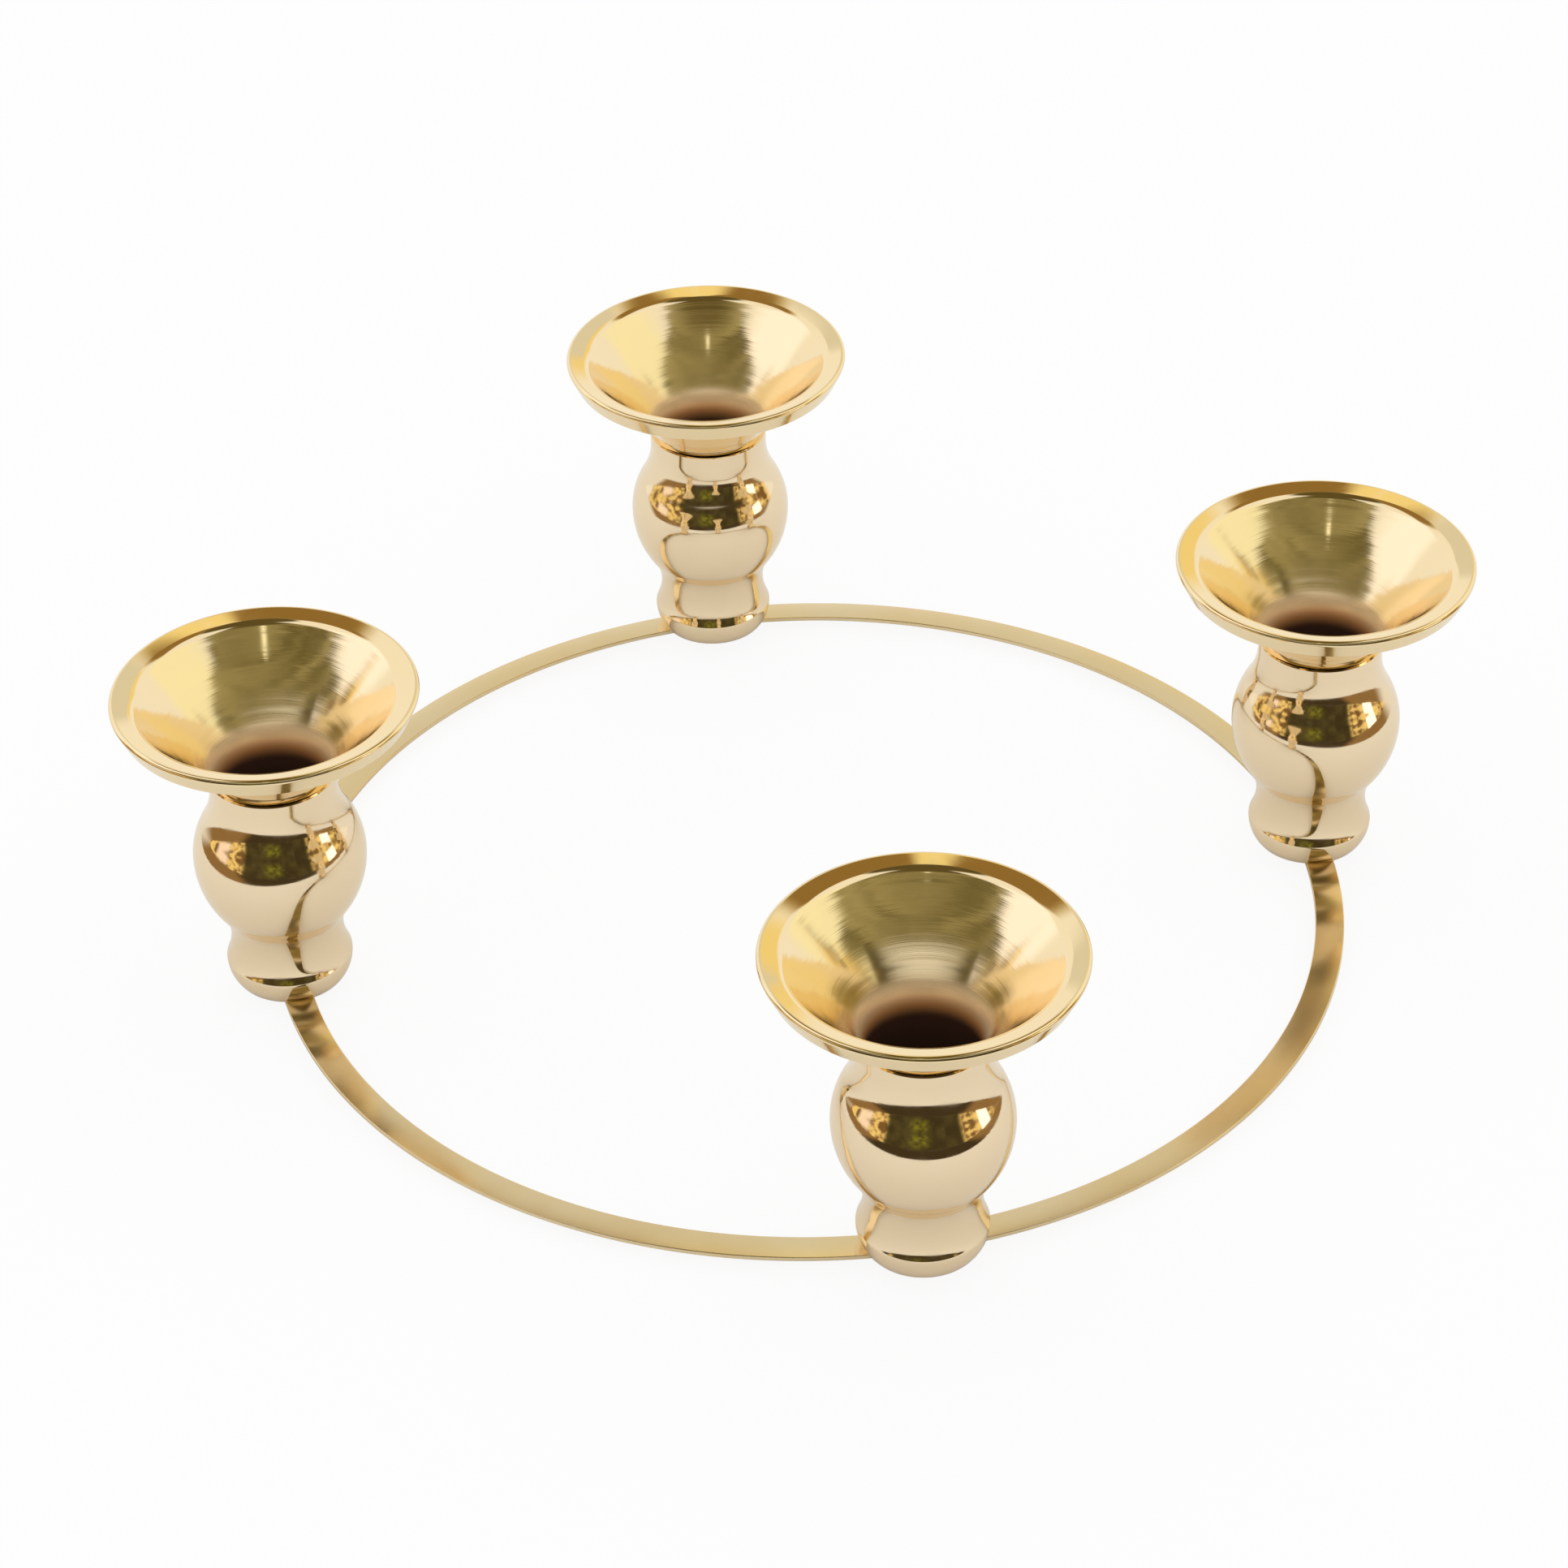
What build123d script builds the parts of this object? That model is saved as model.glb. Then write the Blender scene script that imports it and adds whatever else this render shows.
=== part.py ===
from build123d import *

import os
from math import acos, asin, atan2, cos, degrees, radians, sin, sqrt, tan

# Advent candle holder: a flat brass ring lying level, with four spun candle cups standing on it.
# Millimetres, +Z up, the origin in the middle of the ring on the table. Each cup is a stack of three spun
# shells, a foot, a ball and a drip cup, drawn down onto the ring by one long screw from below. The screw
# ends in a nut brazed under the socket's floor, so the socket stays whole and holds its wax.

# Ring
ring_radius = 110.0  # to the middle of the band, where the cups stand
band_width = 6.0
band_thickness = 1.0
band_edge = 0.2  # round of the strip's edges
stations = {"front": -90.0, "right": 0.0, "back": 90.0, "left": 180.0}

# Fixing screw and nut of each cup
thread_diameter = 3.0
head_diameter = 5.5
head_height = 2.0
slot_width = 0.8
slot_depth = 0.85
thread_chamfer = 0.3
nut_across_flats = 5.5
nut_height = 2.4
nut_chamfer = 0.25
screw_clearance = 0.1  # round the screw in the band and the foot
thread_clearance = 0.05  # round the thread in the nut
tip_gap = 0.1  # between the screw's end and the socket's floor

# Drip cup: candle socket and pan, drawn from one sheet
sheet = 0.6
candle_diameter = 22.0
candle_clearance = 0.05  # round the candle
socket_depth = 22.3  # from the start of the flare down to the floor
floor_bend = 1.0  # inside the corner of the floor
flare_bend = 11.0  # under the flare, where the socket opens into the pan
flare_angle = 36.0  # of the pan's wall from upright, low down
pan_angle = 44.0  # of the pan's wall from upright, near the brim
knee_reach = 7.6  # from the bore out to where the two slopes of the wall meet
knee_bend = 85.0  # long round under that meeting
pan_reach = 15.55  # from the bore out to the brim
brim_bend = 3.0  # under the brim
brim_width = 5.0  # from the pan out to the lip
brim_rise = 1.4  # over that width
lip_bend = 0.15  # inside the sharp turn from the brim down into the lip
lip_drop = 4.75  # of the turned-down lip below the brim's edge
lip_inset = 2.25  # the lip's lower edge stands in from the brim's edge

# Ball and foot, two spun shells
wall = 0.6
neck_gap = 0.7  # round the socket in the neck
seat_gap = 0.03  # between the flare and the neck's edge, which the pan rests on
neck_length = 2.9  # straight part
neck_hollow = 16.5  # long round that leads from the ball into the neck
ball_swell = 4.75  # the ball's widest place stands out from the neck
ball_rise = 19.0  # from the waist up to the widest place
belly_share = 0.643  # the belly's share of the S-curve down to the waist
waist_inset = 6.1  # the waist stands in from the ball
spigot_length = 3.0  # of the ball, let into the foot
spigot_fit = 0.05
foot_swell = 1.4  # the foot's widest place stands out from the waist
foot_fall = 6.6  # from the waist down to the widest place
edge_share = 0.11  # the foot edge's share of the S-curve up to the waist
foot_tuck = 1.8  # the base stands in from the widest place
foot_lift = 4.9  # of the widest place above the band

# Radii that follow
screw_hole = thread_diameter / 2 + screw_clearance
bore_radius = candle_diameter / 2 + candle_clearance
socket_radius = bore_radius + sheet
neck_inner = socket_radius + neck_gap
neck_outer = neck_inner + wall
ball_radius = neck_outer + ball_swell
waist_radius = ball_radius - waist_inset
foot_radius = waist_radius + foot_swell
base_radius = foot_radius - foot_tuck

# Heights that follow
foot_base = head_height + band_thickness
foot_widest = foot_base + foot_lift
waist = foot_widest + foot_fall
ball_centre = waist + ball_rise
neck_start = ball_centre + sqrt((ball_radius + neck_hollow) ** 2 - (neck_outer + neck_hollow) ** 2)
neck_top = neck_start + neck_length
flare_start = neck_top + seat_gap - flare_bend * sin(acos(1 - neck_gap / flare_bend))
floor_top = flare_start - socket_depth
floor_under = floor_top - sheet


def arc(centre, radius, start, end):
    """Arc about a centre from one angle to another, in degrees."""
    return CenterArc(centre, radius, start, end - start)


def turned(*edges):
    """Solid of revolution about the cup's axis; the edges close a section of radius and height."""
    return revolve(Plane.XZ * make_face(Curve() + list(edges)), axis=Axis.Z)


def s_curve(step, rise):
    """Sum of the two radii of an upright-to-upright S-curve, and the angle it turns through."""
    total = (step**2 + rise**2) / (2 * step)
    return total, degrees(atan2(rise, total - step))


def beside(points, gap):
    """Corners of the line that runs beside a chain of points, on its right."""
    sides = [(b - a).normalized().rotate(Axis.Z, -90) for a, b in zip(points, points[1:])]
    corners = [(a + b) / (1 + a.dot(b)) for a, b in zip(sides, sides[1:])]
    return [point + move * gap for point, move in zip(points, [sides[0], *corners, sides[-1]])]


def at_station(angle):
    """Place of a cup on the ring."""
    return Rot(0, 0, angle) * Pos(ring_radius, 0, 0)


def ring_band():
    """Flat strip closed to a ring, with a screw hole at each cup."""
    strip = Circle(ring_radius + band_width / 2) - Circle(ring_radius - band_width / 2)
    band = extrude(strip, band_thickness)
    band = fillet(band.edges(), band_edge)
    for angle in stations.values():
        band -= at_station(angle) * extrude(Circle(screw_hole), band_thickness)
    return Pos(0, 0, head_height) * band


def foot():
    """Spun cup with a flat floor on the band, a full flank and an open top at the waist."""
    tuck = (foot_tuck**2 + foot_lift**2) / (2 * foot_tuck)
    tuck_centre = (foot_radius - tuck, foot_widest)
    base_angle = -degrees(atan2(foot_lift, tuck - foot_tuck))
    floor_angle = -degrees(asin((foot_lift - wall) / (tuck - wall)))
    floor_reach = tuck_centre[0] + (tuck - wall) * cos(radians(floor_angle))
    total, turn = s_curve(foot_swell, foot_fall)
    edge = edge_share * total
    edge_centre = (foot_radius - edge, foot_widest)
    hollow = total - edge
    hollow_centre = (waist_radius + hollow, waist)
    floor = foot_base + wall
    return turned(
        Line((screw_hole, foot_base), (base_radius, foot_base)),
        arc(tuck_centre, tuck, base_angle, 0),
        arc(edge_centre, edge, 0, turn),
        arc(hollow_centre, hollow, 180 + turn, 180),
        Line((waist_radius, waist), (waist_radius - wall, waist)),
        arc(hollow_centre, hollow + wall, 180, 180 + turn),
        arc(edge_centre, edge - wall, turn, 0),
        arc(tuck_centre, tuck - wall, 0, floor_angle),
        Line((floor_reach, floor), (screw_hole, floor)),
        Line((screw_hole, floor), (screw_hole, foot_base)),
    )


def ball():
    """Spun ball, open at its neck above and at the stepped-in spigot that enters the foot below."""
    total, turn = s_curve(waist_inset, ball_rise)
    belly = belly_share * total
    belly_centre = (ball_radius - belly, ball_centre)
    hollow = total - belly
    hollow_centre = (waist_radius + hollow, waist)
    crown_centre = (0, ball_centre)
    neck_centre = (neck_outer + neck_hollow, neck_start)
    crown_end = degrees(atan2(neck_start - ball_centre, neck_centre[0]))
    shell = turned(
        arc(hollow_centre, hollow, 180, 180 - turn),
        arc(belly_centre, belly, -turn, 0),
        arc(crown_centre, ball_radius, 0, crown_end),
        arc(neck_centre, neck_hollow, 180 + crown_end, 180),
        Line((neck_outer, neck_start), (neck_outer, neck_top)),
        Line((neck_outer, neck_top), (neck_inner, neck_top)),
        Line((neck_inner, neck_top), (neck_inner, neck_start)),
        arc(neck_centre, neck_hollow + wall, 180, 180 + crown_end),
        arc(crown_centre, ball_radius - wall, crown_end, 0),
        arc(belly_centre, belly - wall, 0, -turn),
        arc(hollow_centre, hollow + wall, 180 - turn, 180),
        Line((waist_radius - wall, waist), (waist_radius, waist)),
    )
    spigot_outer = waist_radius - wall - spigot_fit
    spigot_inner = spigot_outer - wall
    step_reach = waist_radius - wall / 2
    step_top = waist + wall
    spigot_end = waist - spigot_length
    spigot = Polyline(
        (spigot_inner, spigot_end),
        (spigot_outer, spigot_end),
        (spigot_outer, waist),
        (step_reach, waist),
        (step_reach, step_top),
        (spigot_inner, step_top),
        close=True,
    )
    return shell + turned(*spigot.edges())


def drip_cup():
    """Candle socket with a whole floor, opening through a flare into a pan with a turned-down lip."""
    lean = radians(flare_angle)
    corner = flare_start + (flare_bend + sheet) * tan(lean / 2)
    knee = Vector(bore_radius + knee_reach, corner + knee_reach / tan(lean))
    brim = knee + Vector(pan_reach - knee_reach, (pan_reach - knee_reach) / tan(radians(pan_angle)))
    edge = brim + Vector(brim_width, brim_rise)
    lip = edge - Vector(lip_inset, lip_drop)
    socket = [Vector(0, floor_top), Vector(bore_radius, floor_top), Vector(bore_radius, corner)]
    upper = [*socket, knee, brim, edge, lip]
    lower = beside(upper, sheet)
    inside = [floor_bend, flare_bend + sheet, knee_bend + sheet, brim_bend + sheet, lip_bend + sheet]
    outside = [floor_bend + sheet, flare_bend, knee_bend, brim_bend, lip_bend]
    return turned(
        *FilletPolyline(*upper, radius=inside).edges(),
        Line(upper[-1], lower[-1]),
        *FilletPolyline(*lower, radius=outside).edges(),
        Line(lower[0], upper[0]),
    )


def fixing_screw():
    """Slotted cheese-head screw, head down: the four heads are what the holder stands on."""
    head = extrude(Circle(head_diameter / 2), head_height)
    head -= Pos(0, 0, slot_depth / 2) * Box(head_diameter, slot_width, slot_depth)
    shank_length = floor_under - tip_gap - head_height
    shank = extrude(Circle(thread_diameter / 2), shank_length)
    shank = chamfer(shank.edges().group_by(Axis.Z)[-1], thread_chamfer)
    return head + Pos(0, 0, head_height) * shank


def socket_nut():
    """Hexagon nut with turned corners, brazed under the socket's floor."""
    flats = extrude(RegularPolygon(nut_across_flats / 2, 6, major_radius=False), nut_height)
    corner_radius = nut_across_flats / 2 / cos(radians(30))
    turning = extrude(Circle(corner_radius), nut_height)
    turning = chamfer(turning.edges().group_by(Axis.Z)[0], nut_chamfer)
    thread = extrude(Circle(thread_diameter / 2 + thread_clearance), nut_height)
    return Pos(0, 0, floor_under - nut_height) * ((flats & turning) - thread)


pieces = {"ring_band": ring_band()}
for maker in (foot, ball, drip_cup, fixing_screw, socket_nut):
    piece = maker()
    for station, angle in stations.items():
        pieces[f"{maker.__name__}_{station}"] = at_station(angle) * piece

os.makedirs("parts", exist_ok=True)
for name, piece in pieces.items():
    export_step(piece, f"parts/{name}.step")
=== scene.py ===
from math import cos, pi, radians, sin, tan

import bpy
import numpy as np
from bpy.props import FloatProperty, FloatVectorProperty, IntProperty, PointerProperty
from mathutils import Matrix, Vector


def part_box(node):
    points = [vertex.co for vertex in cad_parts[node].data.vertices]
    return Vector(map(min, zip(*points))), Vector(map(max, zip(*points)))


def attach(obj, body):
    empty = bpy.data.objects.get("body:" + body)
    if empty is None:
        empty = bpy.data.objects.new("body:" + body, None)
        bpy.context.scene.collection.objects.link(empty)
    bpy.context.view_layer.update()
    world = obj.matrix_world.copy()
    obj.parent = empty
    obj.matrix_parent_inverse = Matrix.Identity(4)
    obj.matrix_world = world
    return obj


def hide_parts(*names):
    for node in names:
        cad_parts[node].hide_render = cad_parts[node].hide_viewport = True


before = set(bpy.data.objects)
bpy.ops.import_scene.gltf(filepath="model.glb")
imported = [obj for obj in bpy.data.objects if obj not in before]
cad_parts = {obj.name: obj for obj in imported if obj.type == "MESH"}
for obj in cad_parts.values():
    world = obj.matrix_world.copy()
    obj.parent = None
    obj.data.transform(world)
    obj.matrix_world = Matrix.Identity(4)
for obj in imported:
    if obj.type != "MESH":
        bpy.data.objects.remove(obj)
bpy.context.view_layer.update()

bl_info = {
    "name": "Advent candle holder",
    "version": (1, 0, 0),
    "blender": (4, 5, 0),
    "location": "View3D > Sidebar > Candle holder",
    "description": "Polished brass ring with four spun candle cups, and the studio it stands in",
    "category": "Add Mesh",
}

STATIONS = ("front", "right", "back", "left")
TURNED_MAP = "turned"  # UV map of a turned piece: its turn and the length along its outline
SHARP_EDGE = radians(30.0)  # the surface turns further than this at a real edge
SAME_PLACE = 1e-8  # metres, under which two points of an outline are one
BORE_REACHED = 1e-6  # metres from the bore's radius, where the flare has become the bore

# Degrees between the points of a round
SMOOTH = 1.0  # long rounds that mirror the room
EVEN = 2.0  # small rounds that show
HIDDEN = 4.0  # inside of the sheet
COARSE = 8.0  # small rounds inside the sheet
STRIP_EDGE = 15.0  # edges of the strip

# Studio
IMAGE_SIDE = 1932.0  # pixels of the square picture
SENSOR_WIDTH = 36.0  # millimetres
CLIP_START, CLIP_END = 0.01, 50.0  # metres from the camera
TABLE_REACH = 3.0  # metres from the middle to the floor's sides
TABLE_LINES = 9  # grid lines of the floor each way
TABLE_WHITE = (0.88, 0.875, 0.86, 1.0)
TABLE_GLOW = 0.9  # share of plain white that the camera sees, the rest keeps the shadow
ROOM_RADIUS = 2.0  # metres
FLOOR_END = 1.95  # metres, the far edge of the dark floor
FLOOR_SPREAD = 0.65  # its reach to either side, as a share of a half turn
FLOOR_LIFT = 0.0006  # metres above the table

# Linear colours of the room that the polish shows
WHITE_WALL = (1.0, 0.985, 0.95, 1.0)
RIGHT_PANEL = (1.05, 1.02, 0.76, 1.0)
LEFT_PANEL = (1.2, 1.19, 1.26, 1.0)
GOLD_CORNER = (0.97, 0.8, 0.36, 1.0)
GREY_WALL = (0.78, 0.76, 0.68, 1.0)
GOLD_WALL = (1.0, 0.84, 0.4, 1.0)
BROWN_WALL = (0.3, 0.18, 0.05, 1.0)
CEILING = (0.12, 0.09, 0.03, 1.0)
ROOM_DARK, ROOM_PALE = (0.1, 0.08, 0.02, 1.0), (0.4, 0.35, 0.17, 1.0)
DEPTH_DARK, DEPTH_PALE = (0.055, 0.042, 0.018, 1.0), (0.1, 0.085, 0.03, 1.0)
DEPTH_GREEN = (0.24, 0.24, 0.03, 1.0)
END_BROWN, END_GOLD = (0.22, 0.12, 0.045, 1.0), (1.0, 0.76, 0.3, 1.0)
WARM_LAMP = (1.1, 0.92, 0.78, 1.0)
WHITE_LAMP = (1.9, 1.8, 1.65, 1.0)
HIGH_LAMP = (1.5, 1.45, 1.1, 1.0)
FLOOR_DARK, FLOOR_BROWN = (0.06, 0.042, 0.02, 1.0), (0.3, 0.18, 0.07, 1.0)
FLOOR_WHITE = (0.9, 0.88, 0.84, 1.0)


def length(name, description, default):
    """A size in metres that a user may change."""
    return FloatProperty(name=name, description=description, default=default, unit="LENGTH", precision=5)


def angle(name, description, degrees):
    """An angle that a user may change, given in degrees."""
    return FloatProperty(name=name, description=description, default=radians(degrees), subtype="ANGLE")


def colour(name, description, rgb):
    """A linear colour that a user may change."""
    return FloatVectorProperty(
        name=name, description=description, default=rgb, size=3, subtype="COLOR", min=0, max=4
    )


def factor(name, description, default, top=1.0):
    """A plain number from nothing up to a top."""
    return FloatProperty(name=name, description=description, default=default, min=0.0, max=top)


class RingSizes(bpy.types.PropertyGroup):
    """The flat strip that carries the cups."""

    width: length("Width", "Width of the strip", 0.006)
    edge: length("Edge", "Round of the strip's edges", 0.0002)
    steps: IntProperty(name="Steps", description="Steps round the ring", default=720, min=64)


class CupSizes(bpy.types.PropertyGroup):
    """One candle cup: foot, ball and drip cup."""

    sheet: length("Sheet", "Thickness of the spun sheet", 0.0006)
    bore: length("Bore", "Radius of the candle socket", 0.01105)
    floor_bend: length("Floor bend", "Inside corner of the socket's floor", 0.001)
    flare_bend: length("Flare bend", "Round under the flare", 0.011)
    flare_angle: angle("Flare angle", "Lean of the pan's wall from upright, low down", 36.0)
    pan_angle: angle("Pan angle", "Lean of the pan's wall from upright, near the brim", 44.0)
    knee_reach: length("Knee reach", "From the bore out to where the wall's slopes meet", 0.0076)
    knee_bend: length("Knee bend", "Long round under that meeting", 0.085)
    pan_reach: length("Pan reach", "From the bore out to the brim", 0.01555)
    brim_bend: length("Brim bend", "Round under the brim", 0.003)
    brim_width: length("Brim width", "From the pan out to the lip", 0.005)
    brim_rise: length("Brim rise", "Rise of the brim over its width", 0.0014)
    lip_bend: length("Lip bend", "Inside the turn from the brim into the lip", 0.00015)
    lip_drop: length("Lip drop", "Lip's lower edge below the brim's edge", 0.00475)
    lip_inset: length("Lip inset", "Lip's lower edge in from the brim's edge", 0.00225)
    socket_depth: length("Socket depth", "From the flare down to the floor", 0.0223)
    neck_gap: length("Neck gap", "Gap round the socket in the neck", 0.0007)
    seat_gap: length("Seat gap", "Gap between the flare and the neck", 0.00003)
    neck_length: length("Neck length", "Straight length of the neck", 0.0029)
    neck_hollow: length("Neck hollow", "Round between ball and neck", 0.0165)
    ball_swell: length("Ball swell", "The ball stands out from its neck", 0.00475)
    ball_rise: length("Ball rise", "From the waist up to the widest place", 0.019)
    belly_share: factor("Belly share", "Belly's share of the curve to the waist", 0.643)
    waist_inset: length("Waist inset", "The waist stands in from the ball", 0.0061)
    spigot_length: length("Spigot", "Length let into the foot", 0.003)
    spigot_fit: length("Spigot fit", "Gap round the spigot", 0.00005)
    foot_swell: length("Foot swell", "The foot stands out from the waist", 0.0014)
    foot_fall: length("Foot fall", "From the waist down to the widest place", 0.0066)
    edge_share: factor("Edge share", "Foot edge's share of the curve to the waist", 0.11)
    foot_tuck: length("Foot tuck", "The base stands in from the widest place", 0.0018)
    foot_lift: length("Foot lift", "Widest place above the band", 0.0049)
    screw_hole: length("Screw hole", "Radius of the hole in the foot", 0.0016)
    steps: IntProperty(name="Steps", description="Steps round a cup", default=192, min=32)


class BrassFinish(bpy.types.PropertyGroup):
    """Colours and polish of the brass."""

    cup: colour("Cup", "Polished brass of balls and feet", (0.92, 0.76, 0.52))
    pan: colour("Pan", "Brass of the drip cups", (0.93, 0.77, 0.5))
    brim: colour("Brim", "Brass of the brim and its lip", (0.92, 0.75, 0.46))
    band: colour("Band", "Brass of the strip", (0.84, 0.7, 0.45))
    # The next three colours are painted shade at the socket's mouth: pale, then brown, then dark down into
    # the socket
    painted_shade: colour("Film", "Pale film where the pan runs into the socket", (0.95, 0.7, 0.4))
    painted_brown: colour("Browned", "Brown film at the socket's mouth", (0.75, 0.36, 0.13))
    # Painted shade: the socket's inside darkened
    painted_dark: colour("Stain", "Dark film in the socket", (0.09, 0.045, 0.03))
    screw: colour("Screw", "Brass of screws and nuts", (0.72, 0.56, 0.3))
    polish: factor("Polish", "Roughness of the polished outside", 0.07)
    turning: factor("Turning", "Roughness of the turned pan", 0.1)
    # Roughness where the shade is painted at the socket's mouth
    mouth_roughness: factor("Filmed", "Roughness of the film at the socket's mouth", 0.28)


class StudioSettings(bpy.types.PropertyGroup):
    """Camera and light."""

    azimuth: angle("Azimuth", "Camera's turn from the front, to the right", -11.02)
    elevation: angle("Elevation", "Camera's height above the horizon", 37.54)
    distance: length("Distance", "Camera to the ring's middle", 0.9587)
    focal: FloatProperty(name="Focal length", description="In pixels of the picture", default=5562.5)
    yaw: angle("Yaw", "Aim to the right of the ring's middle", -0.29)
    pitch: angle("Pitch", "Aim above the ring's middle", 1.488)
    roll: angle("Roll", "Turn of the picture", -0.861)
    world: factor("World", "Strength of the white surroundings", 1.0, 4.0)
    table_edge: length("Table edge", "From the ring's middle to the table's near edge", 0.28)


def settings():
    """The four groups of settings, from the scene."""
    scene = bpy.context.scene
    return scene.holder_ring, scene.holder_cup, scene.holder_brass, scene.holder_studio


def arc(centre, radius, start, end, step=HIDDEN):
    """Points of an arc of radius and height about a centre, from start to end in degrees."""
    count = max(2, int(np.ceil(abs(end - start) / step)) + 1)
    turn = np.radians(np.linspace(start, end, count))
    return np.column_stack((centre[0] + radius * np.cos(turn), centre[1] + radius * np.sin(turn)))


def rounded(points, radii, steps):
    """Chain of points with each inner corner rounded by an arc that meets its two sides smoothly.

    The arc's centre lies on the corner's bisector, at the radius over the sine of half the corner's angle.
    """
    points = [np.asarray(p, float) for p in points]
    runs = [points[:1]]
    for before, corner, after, radius, step in zip(points, points[1:], points[2:], radii, steps):
        back = (before - corner) / np.linalg.norm(before - corner)
        ahead = (after - corner) / np.linalg.norm(after - corner)
        half = np.arccos(np.clip(back @ ahead, -1, 1)) / 2
        middle = (back + ahead) / np.linalg.norm(back + ahead)
        centre = corner + middle * radius / np.sin(half)
        first = corner + back * radius / np.tan(half) - centre
        last = corner + ahead * radius / np.tan(half) - centre
        start = np.degrees(np.arctan2(first[1], first[0]))
        sweep = np.degrees(np.arctan2(first[0] * last[1] - first[1] * last[0], first @ last))
        runs.append(arc(centre, radius, start, start + sweep, step))
    runs.append(points[-1:])
    return np.vstack(runs)


def beside(points, gap):
    """Corners of the line that runs beside a chain of points, on its right."""
    points = np.asarray(points, float)
    ways = np.diff(points, axis=0)
    ways /= np.linalg.norm(ways, axis=1)[:, None]
    sides = np.column_stack((ways[:, 1], -ways[:, 0]))
    inner = (sides[:-1] + sides[1:]) / (1 + np.sum(sides[:-1] * sides[1:], axis=1))[:, None]
    return points + gap * np.vstack((sides[:1], inner, sides[-1:]))


def joined(*runs):
    """One outline from several runs of points, without the points that repeat."""
    points = np.vstack(runs)
    moved = np.linalg.norm(np.diff(points, axis=0), axis=1) > SAME_PLACE
    return points[np.concatenate(([True], moved))]


def lengths_along(outline):
    """Length from an outline's start to each of its points."""
    return np.concatenate(([0.0], np.cumsum(np.linalg.norm(np.diff(outline, axis=0), axis=1))))


def stacked(*arrays):
    """Arrays stretched to one shape and laid side by side in a last axis."""
    return np.stack(np.broadcast_arrays(*arrays), -1)


def new_piece(name, vertices, faces, corner_uv):
    """Mesh object from vertices, faces and a UV pair for each face corner, smooth but for its real edges."""
    mesh = bpy.data.meshes.new(name)
    mesh.from_pydata(vertices.tolist(), [], faces)
    layer = mesh.uv_layers.new(name=TURNED_MAP)
    layer.data.foreach_set("uv", np.ascontiguousarray(corner_uv, np.float32).ravel())
    mesh.polygons.foreach_set("use_smooth", np.ones(len(mesh.polygons), bool))
    mesh.set_sharp_from_angle(angle=SHARP_EDGE)
    mesh.validate()
    mesh.update()
    piece = bpy.data.objects.new(name, mesh)
    bpy.context.scene.collection.objects.link(piece)
    return piece


def turned(name, outline, centre, steps):
    """Outline of radius and height turned about an upright axis.

    Vertex = axis + radius * (cos turn, sin turn) at the point's height. A closed outline goes round in both
    directions; one that starts and ends on the axis is closed there by a single point and a fan. The UV map
    holds the turn, from 0 to 1, and the length along the outline in metres. The outline runs with the solid
    on its left, so the faces point outwards.
    """
    poled = outline[0, 0] < SAME_PLACE
    along = lengths_along(outline)
    rings = outline[1:-1] if poled else outline[:-1]
    marks = along[1:-1] if poled else along[:-1]
    rows = len(rings)
    turn = 2 * pi * np.arange(steps) / steps
    radius, height = rings[:, :1], rings[:, 1:]
    grid = stacked(centre[0] + radius * np.cos(turn), centre[1] + radius * np.sin(turn), height)
    vertices = grid.reshape(-1, 3)
    row = np.arange(rows - 1 if poled else rows)[:, None]
    step = np.arange(steps)[None, :]
    after, beyond = (row + 1) % rows, (step + 1) % steps
    here, ahead = row * steps, after * steps
    faces = stacked(here + step, here + beyond, ahead + beyond, ahead + step).reshape(-1, 4).tolist()
    low, high = marks[row], np.where(after > row, marks[after], along[-1])
    near, far = step / steps, (step + 1) / steps
    corners = (stacked(near, low), stacked(far, low), stacked(far, high), stacked(near, high))
    uv = np.stack(corners, 2).reshape(-1, 2)
    if poled:
        around, onward = step[0], beyond[0]
        start, end = len(vertices), len(vertices) + 1
        last = (rows - 1) * steps
        faces += stacked(start, onward, around).tolist()
        faces += stacked(last + around, last + onward, end).tolist()
        poles = [(*centre, outline[0, 1]), (*centre, outline[-1, 1])]
        vertices = np.vstack((vertices, poles))
        left, right = near[0], far[0]
        start_fan = (stacked(left, along[0]), stacked(right, marks[0]), stacked(left, marks[0]))
        end_fan = (stacked(left, marks[-1]), stacked(right, marks[-1]), stacked(left, along[-1]))
        uv = np.vstack((uv, *(np.stack(fan, 1).reshape(-1, 2) for fan in (start_fan, end_fan))))
    return new_piece(name, vertices, faces, uv)


def sheet_piece(name, grid, uv, material):
    """Grid of points with its map as a sheet: each face joins a point with the next ones both ways."""
    rows, columns = grid.shape[:2]
    index = np.arange(rows * columns).reshape(rows, columns)
    quads = stacked(index[:-1, :-1], index[:-1, 1:], index[1:, 1:], index[1:, :-1]).reshape(-1, 4)
    sheet = new_piece(name, grid.reshape(-1, 3), quads.tolist(), uv.reshape(-1, 2)[quads.ravel()])
    sheet.data.materials.append(material)
    return sheet


class Cup:
    """Radii and heights of one cup that follow from its sizes."""

    def __init__(self, s, base):
        self.neck_inner = s.bore + s.sheet + s.neck_gap
        self.neck_outer = self.neck_inner + s.sheet
        self.ball = self.neck_outer + s.ball_swell
        self.waist = self.ball - s.waist_inset
        self.foot = self.waist + s.foot_swell
        self.base = self.foot - s.foot_tuck
        self.base_z = base
        self.foot_z = base + s.foot_lift
        self.waist_z = self.foot_z + s.foot_fall
        self.ball_z = self.waist_z + s.ball_rise
        hollow = self.neck_outer + s.neck_hollow
        self.neck_z = self.ball_z + np.sqrt((self.ball + s.neck_hollow) ** 2 - hollow**2)
        self.neck_top = self.neck_z + s.neck_length
        seat = s.flare_bend * np.sin(np.arccos(1 - s.neck_gap / s.flare_bend))
        self.flare_z = self.neck_top + s.seat_gap - seat


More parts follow.
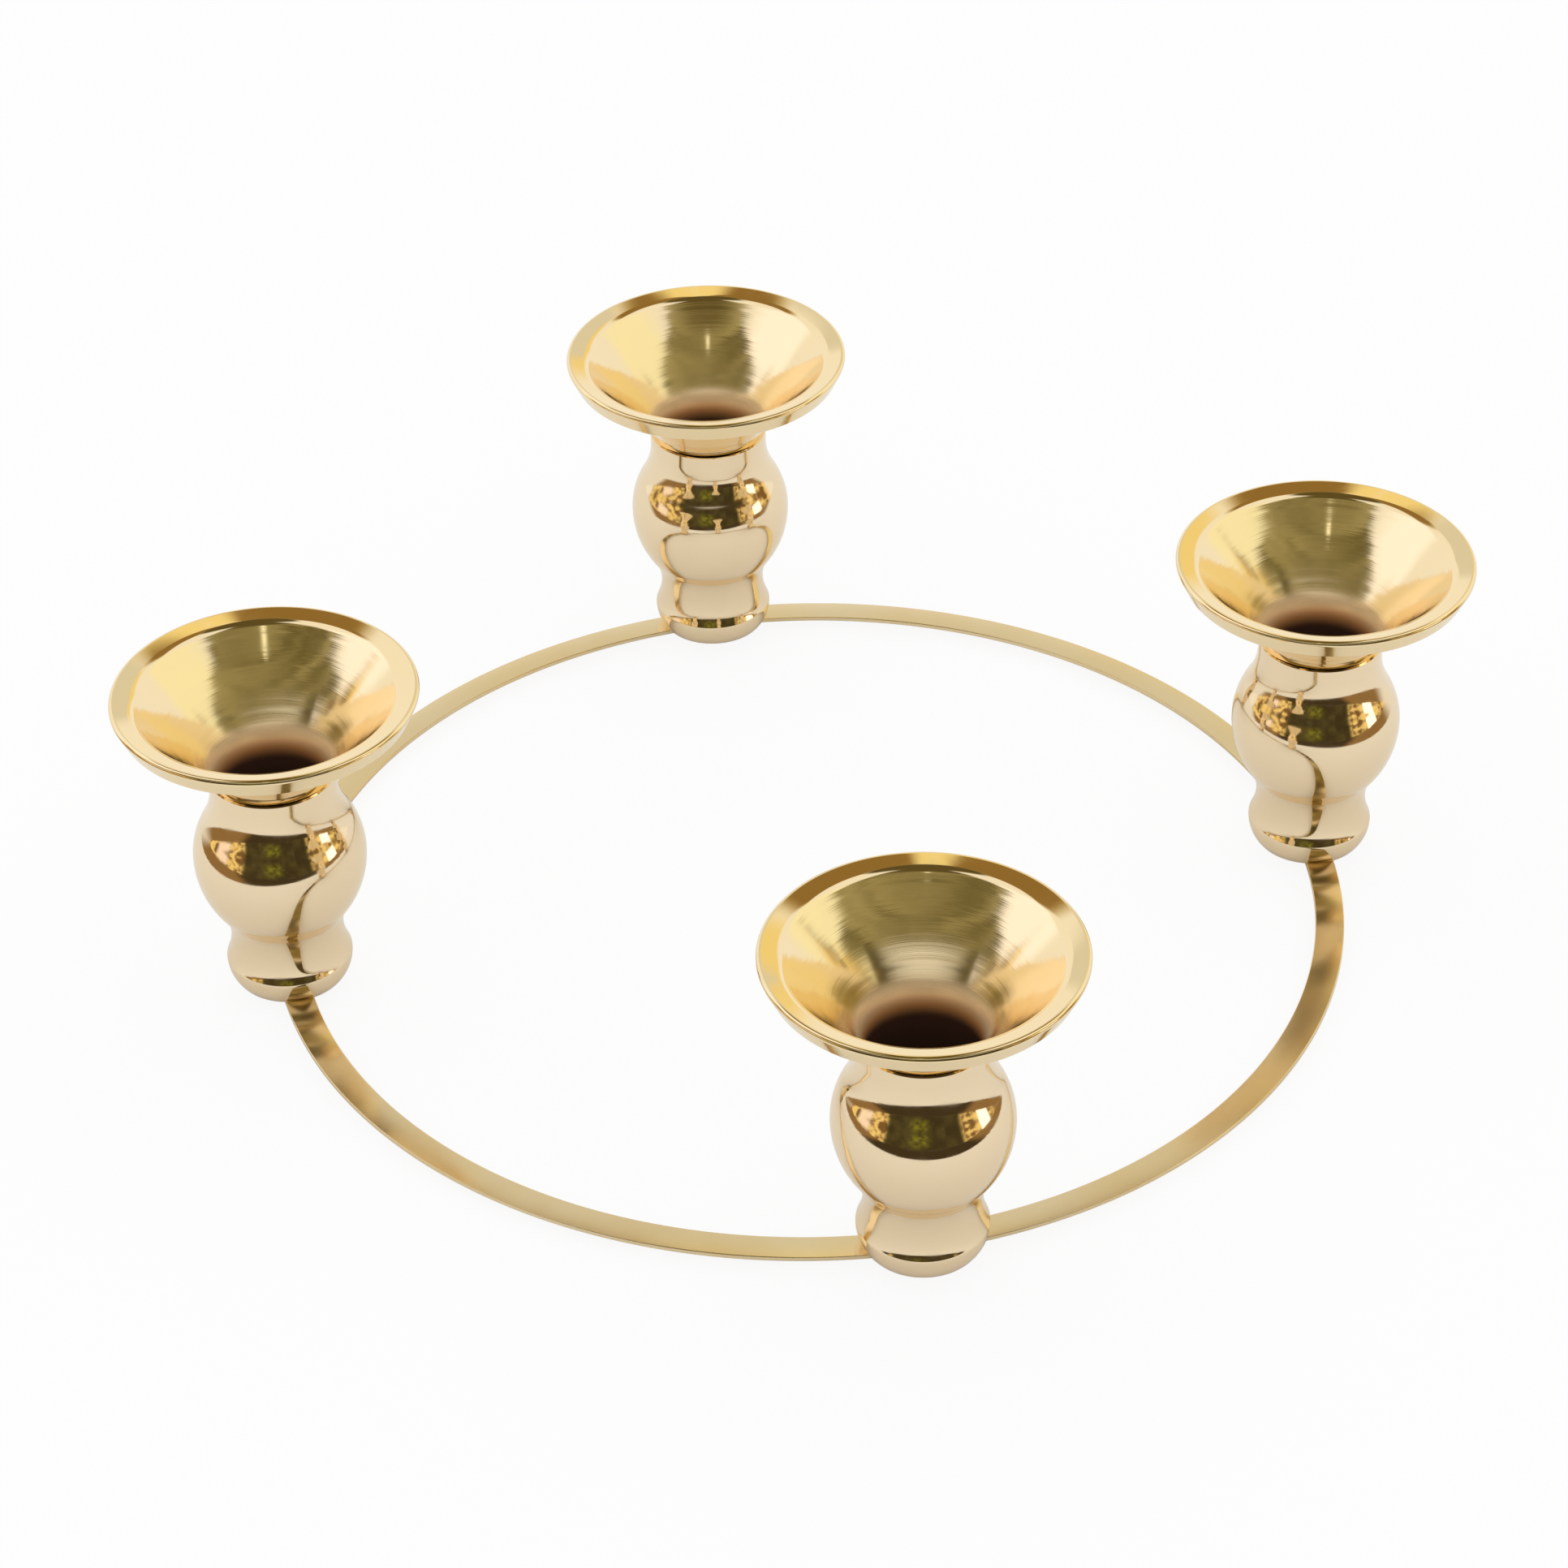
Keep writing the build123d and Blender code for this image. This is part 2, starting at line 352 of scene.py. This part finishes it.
def s_curve(step, rise):
    """Sum of the two radii of an upright-to-upright S-curve, and the angle it turns through."""
    total = (step**2 + rise**2) / (2 * step)
    return total, np.degrees(np.arctan2(rise, total - step))


def foot_outline(s, c):
    """Foot: base, full flank, tight edge, hollow up to the waist, and back down the inside of the sheet."""
    tuck = (s.foot_tuck**2 + s.foot_lift**2) / (2 * s.foot_tuck)
    tuck_at = (c.foot - tuck, c.foot_z)
    base_turn = -np.degrees(np.arctan2(s.foot_lift, tuck - s.foot_tuck))
    floor_turn = -np.degrees(np.arcsin((s.foot_lift - s.sheet) / (tuck - s.sheet)))
    total, turn = s_curve(s.foot_swell, s.foot_fall)
    edge = s.edge_share * total
    edge_at = (c.foot - edge, c.foot_z)
    hollow = total - edge
    hollow_at = (c.waist + hollow, c.waist_z)
    floor = c.base_z + s.sheet
    return joined(
        [(s.screw_hole, c.base_z), (c.base, c.base_z)],
        arc(tuck_at, tuck, base_turn, 0, EVEN),
        arc(edge_at, edge, 0, turn, EVEN),
        arc(hollow_at, hollow, 180 + turn, 180, SMOOTH),
        arc(hollow_at, hollow + s.sheet, 180, 180 + turn),
        arc(edge_at, edge - s.sheet, turn, 0, COARSE),
        arc(tuck_at, tuck - s.sheet, 0, floor_turn, COARSE),
        [(s.screw_hole, floor), (s.screw_hole, c.base_z)],
    )


def ball_outline(s, c):
    """Ball: spigot, waist, hollow, belly, crown and neck, and back down the inside of the sheet."""
    total, turn = s_curve(s.waist_inset, s.ball_rise)
    belly = s.belly_share * total
    belly_at = (c.ball - belly, c.ball_z)
    hollow = total - belly
    hollow_at = (c.waist + hollow, c.waist_z)
    inside_end = 178 - 0.7 * turn  # the inside leaves the hollow early, for the spigot's step
    crown_at = (0.0, c.ball_z)
    neck_at = (c.neck_outer + s.neck_hollow, c.neck_z)
    lean = np.degrees(np.arctan2(c.neck_z - c.ball_z, neck_at[0]))
    spigot = c.waist - s.sheet - s.spigot_fit
    end = c.waist_z - s.spigot_length
    step = c.waist_z + s.sheet
    return joined(
        [(spigot - s.sheet, end), (spigot, end)],
        [(spigot, c.waist_z), (c.waist, c.waist_z)],
        arc(hollow_at, hollow, 180, 180 - turn, SMOOTH),
        arc(belly_at, belly, -turn, 0, SMOOTH),
        arc(crown_at, c.ball, 0, lean, SMOOTH),
        arc(neck_at, s.neck_hollow, 180 + lean, 180, SMOOTH),
        [(c.neck_outer, c.neck_top), (c.neck_inner, c.neck_top)],
        arc(neck_at, s.neck_hollow + s.sheet, 180, 180 + lean),
        arc(crown_at, c.ball - s.sheet, lean, 0),
        arc(belly_at, belly - s.sheet, 0, -turn),
        arc(hollow_at, hollow + s.sheet, 180 - turn, inside_end),
        [(spigot - s.sheet, step), (spigot - s.sheet, end)],
    )


def drip_cup_outline(s, c):
    """Drip cup: outside of floor, socket, flare, wall, brim and lip, the lip's cut edge, then the inside."""
    corner = c.flare_z + (s.flare_bend + s.sheet) * tan(s.flare_angle / 2)
    floor = c.flare_z - s.socket_depth
    knee = (s.bore + s.knee_reach, corner + s.knee_reach / tan(s.flare_angle))
    brim = (s.bore + s.pan_reach, knee[1] + (s.pan_reach - s.knee_reach) / tan(s.pan_angle))
    edge = (brim[0] + s.brim_width, brim[1] + s.brim_rise)
    lip = (edge[0] - s.lip_inset, edge[1] - s.lip_drop)
    upper = [(0.0, floor), (s.bore, floor), (s.bore, corner), knee, brim, edge, lip]
    lower = beside(upper, s.sheet)
    bends = np.array((s.floor_bend, s.flare_bend, s.knee_bend, s.brim_bend, s.lip_bend))
    steps = (HIDDEN, SMOOTH, SMOOTH, SMOOTH, EVEN)
    outside = rounded(lower, bends + s.sheet * np.array((1, 0, 0, 0, 0)), steps)
    inside = rounded(upper, bends + s.sheet * np.array((0, 1, 1, 1, 1)), steps)
    return joined(outside, inside[::-1])


def pan_marks(outline, s):
    """Lengths along the drip cup's outline where its lip, its pan and its socket begin."""
    along = lengths_along(outline)
    widest = int(np.argmax(outline[:, 0]))
    inside = np.arange(len(outline)) > widest
    at_brim = np.argmax(inside & (outline[:, 0] < s.bore + s.pan_reach))
    at_shoulder = np.argmax(inside & (outline[:, 0] < s.bore + BORE_REACHED))
    return {"lip": along[widest] - s.lip_drop, "brim": along[at_brim], "shoulder": along[at_shoulder]}


def ring_outline(s, middle, low, high):
    """Section of the flat strip with its rounded edges, at its place from the ring's axis."""
    inner, outer = middle - s.width / 2, middle + s.width / 2
    corners = [(outer, low), (outer, high), (inner, high), (inner, low)]
    start = (middle, low)
    return rounded([start, *corners, start], [s.edge] * len(corners), [STRIP_EDGE] * len(corners))


class Shader:
    """A node material built step by step."""

    def __init__(self, name, metal=True):
        self.material = bpy.data.materials.new(name)
        self.material.use_nodes = True
        self.tree = self.material.node_tree
        self.surface = self.tree.nodes["Principled BSDF"]
        if metal:
            self.surface.inputs["Metallic"].default_value = 1.0

    def node(self, kind, values=None, **fields):
        """A new node with its fields set; values sets or links its inputs."""
        made = self.tree.nodes.new(kind)
        for field, value in fields.items():
            setattr(made, field, value)
        for socket, value in (values or {}).items():
            self.feed(made.inputs[socket], value)
        return made

    def feed(self, socket, value):
        """Links an output to a socket, or sets the socket's own value."""
        if isinstance(value, bpy.types.NodeSocket):
            self.tree.links.new(value, socket)
        else:
            socket.default_value = value

    def maths(self, operation, *values):
        """Result of a Math node."""
        return self.node("ShaderNodeMath", dict(enumerate(values)), operation=operation).outputs[0]

    def times(self, first, second):
        """Product of two numbers."""
        return self.maths("MULTIPLY", first, second)

    def ramp(self, value, low, high, bottom=0.0, top=1.0):
        """A value moved smoothly from one range to another, held at the ends."""
        spread = {"Value": value, "From Min": low, "From Max": high, "To Min": bottom, "To Max": top}
        return self.node("ShaderNodeMapRange", spread, interpolation_type="SMOOTHSTEP").outputs[0]

    def mix(self, share, first, second):
        """Two colours mixed by a share."""
        return self.node("ShaderNodeMix", {0: share, 6: first, 7: second}, data_type="RGBA").outputs[2]

    def blend(self, share, first, second):
        """Two numbers mixed by a share."""
        return self.node("ShaderNodeMix", {0: share, 2: first, 3: second}).outputs[0]

    def object_point(self):
        """The point on the piece, in metres."""
        return self.node("ShaderNodeTexCoord").outputs["Object"]

    def map_point(self):
        """The point on the piece's own map."""
        return self.node("ShaderNodeUVMap", uv_map=TURNED_MAP).outputs[0]

    def turned_map(self):
        """Turn round the axis and length along the outline, from the piece's own map."""
        parts = self.node("ShaderNodeSeparateXYZ", {0: self.map_point()})
        return parts.outputs[0], parts.outputs[1]

    def noise(self, point, scale, detail=2.0, roughness=0.5):
        """Smooth noise of a point, about a half."""
        values = {"Vector": point, "Scale": scale, "Detail": detail, "Roughness": roughness}
        return self.node("ShaderNodeTexNoise", values).outputs["Fac"]

    def lines(self, mark, scale, detail=3.0):
        """Noise of one length alone: rings left by the turning tool."""
        values = {"W": mark, "Scale": scale, "Detail": detail}
        return self.node("ShaderNodeTexNoise", values, noise_dimensions="1D").outputs["Fac"]

    def bump(self, height, strength, distance, normal=None):
        """Normal bent by a height."""
        made = self.node("ShaderNodeBump", {"Height": height, "Strength": strength, "Distance": distance})
        if normal is not None:
            self.feed(made.inputs["Normal"], normal)
        return made.outputs[0]

    def finish(self, **sockets):
        """Feeds the surface's sockets and gives the material."""
        for socket, value in sockets.items():
            self.feed(self.surface.inputs[socket.replace("_", " ")], value)
        return self.material


def rgba(rgb, scale=1.0):
    """Colour with full alpha."""
    return (rgb[0] * scale, rgb[1] * scale, rgb[2] * scale, 1.0)


def warmer(rgb, green, blue):
    """Colour with full alpha and a share of its green and its blue."""
    return (rgb[0], rgb[1] * green, rgb[2] * blue, 1.0)


def handled(m, point, polish):
    """Roughness of a polish that has been handled."""
    marks = m.noise(point, scale=240.0, detail=4.0)
    return m.ramp(marks, 0.35, 0.75, bottom=polish * 0.7, top=polish * 1.6)


def polished_brass(brass):
    """Mirror-polished spun brass: a faint change of tone, handling marks and the finest turning lines."""
    m = Shader("polished_brass")
    point = m.object_point()
    _, mark = m.turned_map()
    cloud = m.noise(point, scale=90.0, detail=3.0)
    tone = m.mix(cloud, rgba(brass.cup, 0.97), warmer(brass.cup, green=0.985, blue=0.97))
    waves = m.bump(m.noise(point, scale=60.0), strength=0.05, distance=0.0004)
    normal = m.bump(m.lines(mark, scale=2600.0), strength=0.05, distance=0.00004, normal=waves)
    return m.finish(Base_Color=tone, Roughness=handled(m, point, brass.polish), Normal=normal)


def turned_brass(brass, marks):
    """Drip cup: polish outside, deeper gold on the brim, turning rings on the wall, painted shade round the
    socket.

    The painted shade goes from pale over brown to dark down into the socket. Places are lengths along the
    outline, from the brim or from the shoulder where the flare becomes the bore.
    """
    m = Shader("turned_brass")
    point = m.object_point()
    _, mark = m.turned_map()
    lip, brim, shoulder = marks["lip"], marks["brim"], marks["shoulder"]
    soft = 0.0004  # metres over which one finish meets the next
    margin = 0.006  # metres of the wall's ends that keep their own polish
    in_pan = m.ramp(mark, brim - soft, brim + soft)
    on_brim = m.times(m.ramp(mark, lip, lip + soft), m.maths("SUBTRACT", 1.0, in_pan))
    low_wall = m.ramp(mark, brim + margin, shoulder - margin)
    # Painted shade: pale from here, brown nearer the socket's mouth
    painted_shade = m.ramp(mark, shoulder - 0.009, shoulder - 0.005)
    painted_brown = m.ramp(mark, shoulder - 0.005, shoulder - 0.0015)
    # Painted shade down inside the socket
    in_socket = m.ramp(mark, shoulder - 0.003, shoulder + 0.001)
    cloud = m.noise(point, scale=110.0, detail=3.0)
    tone = m.mix(cloud, rgba(brass.pan, 0.97), warmer(brass.pan, green=0.98, blue=0.93))
    # Deeper gold on the brim, then the painted pale and brown shade towards the socket
    for share, over in ((on_brim, brass.brim), (painted_shade, brass.painted_shade), (painted_brown, brass.painted_brown)):
        tone = m.mix(share, tone, rgba(over))
    # Painted dark shade in the socket
    tone = m.mix(in_socket, tone, rgba(brass.painted_dark))
    broad = m.lines(mark, scale=380.0, detail=2.0)
    fine = m.lines(mark, scale=4200.0, detail=4.0)
    cut = m.maths("ADD", m.times(broad, 0.85), m.times(fine, 0.15))
    grain = m.noise(point, scale=260.0, detail=4.0)
    turning = m.ramp(grain, 0.3, 0.7, bottom=brass.turning * 0.8, top=brass.turning * 1.2)
    rough = m.blend(in_pan, handled(m, point, brass.polish), turning)
    rough = m.blend(low_wall, rough, brass.turning * 1.7)
    rough = m.blend(painted_shade, rough, brass.mouth_roughness)
    # Less metal where the shade is painted, so the white surroundings light its colour
    metal_share = m.ramp(painted_shade, 0.0, 1.0, bottom=1.0, top=0.35)
    normal = m.bump(cut, strength=m.times(in_pan, 0.3), distance=0.0001)
    return m.finish(Base_Color=tone, Metallic=metal_share, Roughness=rough, Normal=normal)


def strip_brass(brass):
    """Rolled strip: lines drawn along it that spread the light across it, soft waves, warmer patches."""
    m = Shader("strip_brass")
    point = m.object_point()
    _, mark = m.turned_map()
    patches = m.ramp(m.noise(point, scale=28.0, detail=3.0), 0.35, 0.7)
    tone = m.mix(patches, rgba(brass.band), warmer(brass.band, green=0.95, blue=0.85))
    rough = m.ramp(m.noise(point, scale=60.0, detail=3.0), 0.3, 0.7, bottom=0.18, top=0.24)
    waves = m.bump(m.noise(point, scale=45.0, detail=1.0), strength=0.06, distance=0.0008)
    normal = m.bump(m.lines(mark, scale=3800.0), strength=0.06, distance=0.00008, normal=waves)
    along = m.node("ShaderNodeTangent", direction_type="UV_MAP", uv_map=TURNED_MAP).outputs[0]
    m.finish(Base_Color=tone, Roughness=rough, Normal=normal)
    return m.finish(Tangent=along, Anisotropic=0.75, Anisotropic_Rotation=0.25)


def screw_brass(brass):
    """Turned fastener brass, duller, with a speckled tone."""
    m = Shader("screw_brass")
    point = m.object_point()
    speckle = m.noise(point, scale=700.0, detail=4.0)
    tone = m.mix(speckle, rgba(brass.screw, 0.85), rgba(brass.screw, 1.1))
    rough = m.ramp(m.noise(point, scale=900.0, detail=3.0), 0.3, 0.7, bottom=0.22, top=0.4)
    normal = m.bump(m.noise(point, scale=1800.0, detail=3.0), strength=0.12, distance=0.0001)
    return m.finish(Base_Color=tone, Roughness=rough, Normal=normal)


def dress(piece, material, body, node):
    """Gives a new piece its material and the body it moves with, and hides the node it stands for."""
    piece.data.materials.clear()
    piece.data.materials.append(material)
    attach(piece, body)
    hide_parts(node)


def axis_of(node):
    """Place of a turned node's axis, from the frame."""
    low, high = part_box(node)
    return (low.x + high.x) / 2, (low.y + high.y) / 2


class HOLDER_OT_ring(bpy.types.Operator):
    """Flat brass strip closed to a ring"""

    bl_idname = "holder.ring"
    bl_label = "Ring band"

    def execute(self, context):
        ring, _, brass, _ = settings()
        low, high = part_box("ring_band")
        middle = high.x - ring.width / 2
        piece = turned("polished_ring", ring_outline(ring, middle, low.z, high.z), (0.0, 0.0), ring.steps)
        dress(piece, strip_brass(brass), "ring", "ring_band")
        return {"FINISHED"}


class HOLDER_OT_cups(bpy.types.Operator):
    """Feet, balls and drip cups, spun from sheet"""

    bl_idname = "holder.cups"
    bl_label = "Candle cups"

    def execute(self, context):
        _, sizes, brass, _ = settings()
        cup = Cup(sizes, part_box("foot_front")[0].z)
        polished = polished_brass(brass)
        pan = drip_cup_outline(sizes, cup)
        pan_brass = turned_brass(brass, pan_marks(pan, sizes))
        outlines = {
            "foot": (foot_outline(sizes, cup), polished, "cup_brass"),
            "ball": (ball_outline(sizes, cup), polished, "cup_brass"),
            "drip_cup": (pan, pan_brass, "pan_brass"),
        }
        for station in STATIONS:
            for kind, (outline, material, slot) in outlines.items():
                node = f"{kind}_{station}"
                piece = turned(f"spun_{node}", outline, axis_of(node), sizes.steps)
                dress(piece, material, f"cup_{station}", node)
        return {"FINISHED"}


class HOLDER_OT_fixings(bpy.types.Operator):
    """Finish of the screws and of the nuts under the sockets"""

    bl_idname = "holder.fixings"
    bl_label = "Screws and nuts"

    def execute(self, context):
        _, _, brass, _ = settings()
        material = screw_brass(brass)
        for station in STATIONS:
            for kind in ("fixing_screw", "socket_nut"):
                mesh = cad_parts[f"{kind}_{station}"].data
                mesh.materials.clear()
                mesh.materials.append(material)
        return {"FINISHED"}


def camera_matrix(studio, aim):
    """Camera on a sphere about the aim, turned a little off it and rolled, as a matrix."""
    az, el = studio.azimuth, studio.elevation
    back = Vector((sin(az) * cos(el), -cos(az) * cos(el), sin(el)))
    ahead = -back
    right = ahead.cross(Vector((0, 0, 1))).normalized()
    up = right.cross(ahead)
    ahead = (ahead + tan(studio.yaw) * right + tan(studio.pitch) * up).normalized()
    right = ahead.cross(up).normalized()
    up = right.cross(ahead)
    across = cos(studio.roll) * right + sin(studio.roll) * up
    upward = -sin(studio.roll) * right + cos(studio.roll) * up
    turn = Matrix((across, upward, -ahead)).transposed().to_4x4()
    return Matrix.Translation(aim + back * studio.distance) @ turn


def dome(facing, rows=48, columns=160):
    """Half sphere over the table: point = radius * direction of its turn and height.

    The turn is counted from the camera's side, to the right. The map holds the turn over 180 degrees, from
    -1 to 1, and the height over 90 degrees, from 0 to just under 1.
    """
    turn, rise = np.meshgrid(np.linspace(-1, 1, columns), np.linspace(0, 0.999, rows))
    az, el = facing + pi * turn, pi / 2 * rise
    grid = np.stack((np.sin(az) * np.cos(el), -np.cos(az) * np.cos(el), np.sin(el)), -1)
    return ROOM_RADIUS * grid, np.stack((turn, rise), -1)


def beyond_table(facing, near, rows=24, columns=96):
    """Level sector on the camera's side: point = radius * direction of its turn, with a round near edge.

    The map holds the turn over 180 degrees, counted as the dome's, and the radius in metres.
    """
    spread = np.linspace(-FLOOR_SPREAD, FLOOR_SPREAD, columns)
    turn, radius = np.meshgrid(spread, np.geomspace(near, FLOOR_END, rows))
    az = facing + pi * turn
    grid = np.stack((radius * np.sin(az), -radius * np.cos(az), np.full_like(az, FLOOR_LIFT)), -1)
    return grid, np.stack((turn, radius), -1)


def shining(name, build):
    """A material that only shines, in the colour that build gives."""
    m = Shader(name, metal=False)
    m.tree.nodes.remove(m.surface)
    shine = m.node("ShaderNodeEmission", {"Color": build(m)})
    m.tree.links.new(shine.outputs[0], m.tree.nodes["Material Output"].inputs[0])
    return m.material


def reflection_card(name, grid, uv, build):
    """Shining sheet that only polished metal sees."""
    card = sheet_piece(name, grid, uv, shining(build.__name__, build))
    card.visible_camera = False
    card.visible_diffuse = False
    card.visible_shadow = False


def dark_floor(m):
    """Dark floor beyond the table's round edge, warmer at its ends and fading into the white room."""
    turn, _ = m.turned_map()
    aside = m.times(m.maths("ABSOLUTE", turn), 180.0)
    shade = m.mix(m.ramp(aside, 44.0, 60.0), FLOOR_DARK, FLOOR_BROWN)
    return m.mix(m.ramp(aside, 96.0, 112.0), shade, FLOOR_WHITE)


def room_light(m):
    """What the polish shows: pale walls, a dark room on the camera's side with warm lights at its ends,
    bright side panels, a gold and brown wall opposite and darkness overhead.

    Turns and heights are in degrees. A turn is counted from the camera's side, to the right.
    """
    turn, rise = m.turned_map()
    az = m.times(turn, 180.0)
    el = m.times(rise, 90.0)
    aside = m.maths("ABSOLUTE", az)
    behind = m.maths("SUBTRACT", 180.0, aside)
    place = m.map_point()

    def between(value, limits, soft):
        """One between two limits, with soft ends."""
        low, high = limits
        below = m.maths("SUBTRACT", 1.0, m.ramp(value, high - soft, high + soft))
        return m.times(m.ramp(value, low - soft, low + soft), below)

    def area(turned_by, turns, heights, soft):
        """One inside a patch of the room, with soft ends."""
        return m.times(between(turned_by, turns, soft), between(el, heights, soft))

    def strewn(across, upward, low, high):
        """Noise of the place in the room, stretched, as a share between two limits."""
        stretch = {0: place, 1: (across, upward, 1.0)}
        stretched = m.node("ShaderNodeVectorMath", stretch, operation="MULTIPLY").outputs[0]
        return m.ramp(m.noise(stretched, scale=1.0, detail=3.0, roughness=0.6), low, high)

    # Walls, and the ceiling over them
    shade = m.mix(area(az, (62.0, 122.0), (13.0, 50.0), 5.0), WHITE_WALL, RIGHT_PANEL)
    shade = m.mix(area(az, (-122.0, -62.0), (13.0, 50.0), 5.0), shade, LEFT_PANEL)
    shade = m.mix(area(az, (146.0, 172.0), (20.0, 46.0), 4.0), shade, GOLD_CORNER)
    shade = m.mix(area(behind, (-1.0, 20.0), (28.0, 48.0), 2.0), shade, GREY_WALL)
    shade = m.mix(area(behind, (-1.0, 62.0), (50.0, 74.0), 3.0), shade, GOLD_WALL)
    shade = m.mix(area(behind, (8.0, 62.0), (50.0, 74.0), 3.0), shade, BROWN_WALL)
    shade = m.mix(m.ramp(el, 71.0, 75.0), shade, CEILING)

    # Upper part of the dark room, which narrows upwards and sags at its sides
    narrowing = 1.1  # degrees of turn for each degree of height
    sagging = 0.0022  # degrees of height for each square degree of turn
    room = m.mix(strewn(1.2, 34.0, 0.38, 0.62), ROOM_DARK, ROOM_PALE)
    room = m.mix(m.ramp(el, 58.0, 64.0), room, CEILING)
    widening = m.maths("ADD", aside, m.times(el, narrowing))
    sinking = m.maths("ADD", el, m.times(m.times(az, az), sagging))
    in_room = m.times(m.ramp(sinking, 34.5, 38.5), m.ramp(widening, 120.0, 114.0))
    shade = m.mix(in_room, shade, room)

    # Lower part, with a green spot in its middle and gold at its ends
    depth = m.mix(strewn(9.0, 4.0, 0.4, 0.7), DEPTH_DARK, DEPTH_PALE)
    green = m.times(area(az, (-15.0, 5.0), (5.0, 18.0), 6.0), strewn(22.0, 16.0, 0.35, 0.6))
    depth = m.mix(green, depth, DEPTH_GREEN)
    shade = m.mix(area(az, (-66.0, 66.0), (-9.0, 30.0), 2.0), shade, depth)
    ends = m.mix(strewn(14.0, 10.0, 0.42, 0.58), END_BROWN, END_GOLD)
    shade = m.mix(area(aside, (46.0, 108.0), (-9.0, 22.0), 4.0), shade, ends)

    # Lamps
    shade = m.mix(area(az, (-86.0, -68.0), (1.0, 11.0), 3.0), shade, WARM_LAMP)
    shade = m.mix(area(az, (70.0, 85.0), (-1.0, 12.0), 1.5), shade, WHITE_LAMP)
    return m.mix(area(az, (-6.0, -1.0), (53.0, 57.0), 1.0), shade, HIGH_LAMP)


def white_table():
    """Table top that the camera sees almost white, with the object's soft shadow kept."""
    m = Shader("white_table", metal=False)
    m.finish(Base_Color=TABLE_WHITE, Roughness=0.9, Specular_IOR_Level=0.0)
    white = m.node("ShaderNodeEmission")
    seen = m.times(m.node("ShaderNodeLightPath").outputs["Is Camera Ray"], TABLE_GLOW)
    blend = m.node("ShaderNodeMixShader", {0: seen, 1: m.surface.outputs[0], 2: white.outputs[0]})
    m.tree.links.new(blend.outputs[0], m.tree.nodes["Material Output"].inputs[0])
    return m.material


class HOLDER_OT_studio(bpy.types.Operator):
    """Pale floor, white surroundings, cards that the polish shows, and the camera"""

    bl_idname = "holder.studio"
    bl_label = "Studio"

    def execute(self, context):
        _, _, _, studio = settings()
        scene = context.scene
        scene.view_settings.view_transform = "Standard"
        self.floor()
        self.surroundings(scene, studio)
        reflection_card("room_dome", *dome(studio.azimuth), room_light)
        reflection_card("floor_card", *beyond_table(studio.azimuth, studio.table_edge), dark_floor)
        self.camera(scene, studio)
        return {"FINISHED"}

    @staticmethod
    def floor():
        """Level table top, point = its place each way at no height."""
        reach = np.linspace(-TABLE_REACH, TABLE_REACH, TABLE_LINES)
        x, y = np.meshgrid(reach, reach)
        grid = np.stack((x, y, np.zeros_like(x)), -1)
        sheet_piece("floor", grid, grid[..., :2], white_table())

    @staticmethod
    def surroundings(scene, studio):
        """White all round."""
        world = bpy.data.worlds.new("white_room")
        world.use_nodes = True
        background = world.node_tree.nodes["Background"]
        background.inputs["Color"].default_value = (1.0, 1.0, 1.0, 1.0)
        background.inputs["Strength"].default_value = studio.world
        scene.world = world

    @staticmethod
    def camera(scene, studio):
        """Camera at the photograph's view, aimed about the middle of the band."""
        band_low, band_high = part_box("ring_band")
        lens = bpy.data.cameras.new("photo_camera")
        lens.sensor_width = SENSOR_WIDTH
        lens.lens = studio.focal / IMAGE_SIDE * SENSOR_WIDTH
        lens.clip_start, lens.clip_end = CLIP_START, CLIP_END
        camera = bpy.data.objects.new("photo_camera", lens)
        camera.matrix_world = camera_matrix(studio, Vector((0, 0, (band_low.z + band_high.z) / 2)))
        scene.collection.objects.link(camera)
        scene.camera = camera


class HOLDER_PT_sidebar(bpy.types.Panel):
    """Lists the holder's pieces and settings"""

    bl_idname = "HOLDER_PT_sidebar"
    bl_label = "Candle holder"
    bl_space_type = "VIEW_3D"
    bl_region_type = "UI"
    bl_category = "Candle holder"

    def draw(self, context):
        for operator in OPERATORS:
            self.layout.operator(operator.bl_idname)
        for group in settings():
            box = self.layout.box()
            for name in group.bl_rna.properties.keys():
                if name not in ("rna_type", "name"):
                    box.prop(group, name)


GROUPS = {
    "holder_ring": RingSizes,
    "holder_cup": CupSizes,
    "holder_brass": BrassFinish,
    "holder_studio": StudioSettings,
}
OPERATORS = (HOLDER_OT_ring, HOLDER_OT_cups, HOLDER_OT_fixings, HOLDER_OT_studio)
CLASSES = (*GROUPS.values(), *OPERATORS, HOLDER_PT_sidebar)


def register():
    """Adds the classes and the scene's settings."""
    for cls in CLASSES:
        bpy.utils.register_class(cls)
    for name, group in GROUPS.items():
        setattr(bpy.types.Scene, name, PointerProperty(type=group))


def unregister():
    """Removes the settings and the classes."""
    for name in GROUPS:
        delattr(bpy.types.Scene, name)
    for cls in reversed(CLASSES):
        bpy.utils.unregister_class(cls)


def main():
    """Builds the holder and its studio."""
    register()
    bpy.ops.holder.ring()
    bpy.ops.holder.cups()
    bpy.ops.holder.fixings()
    bpy.ops.holder.studio()


if __name__ == "__main__":
    main()
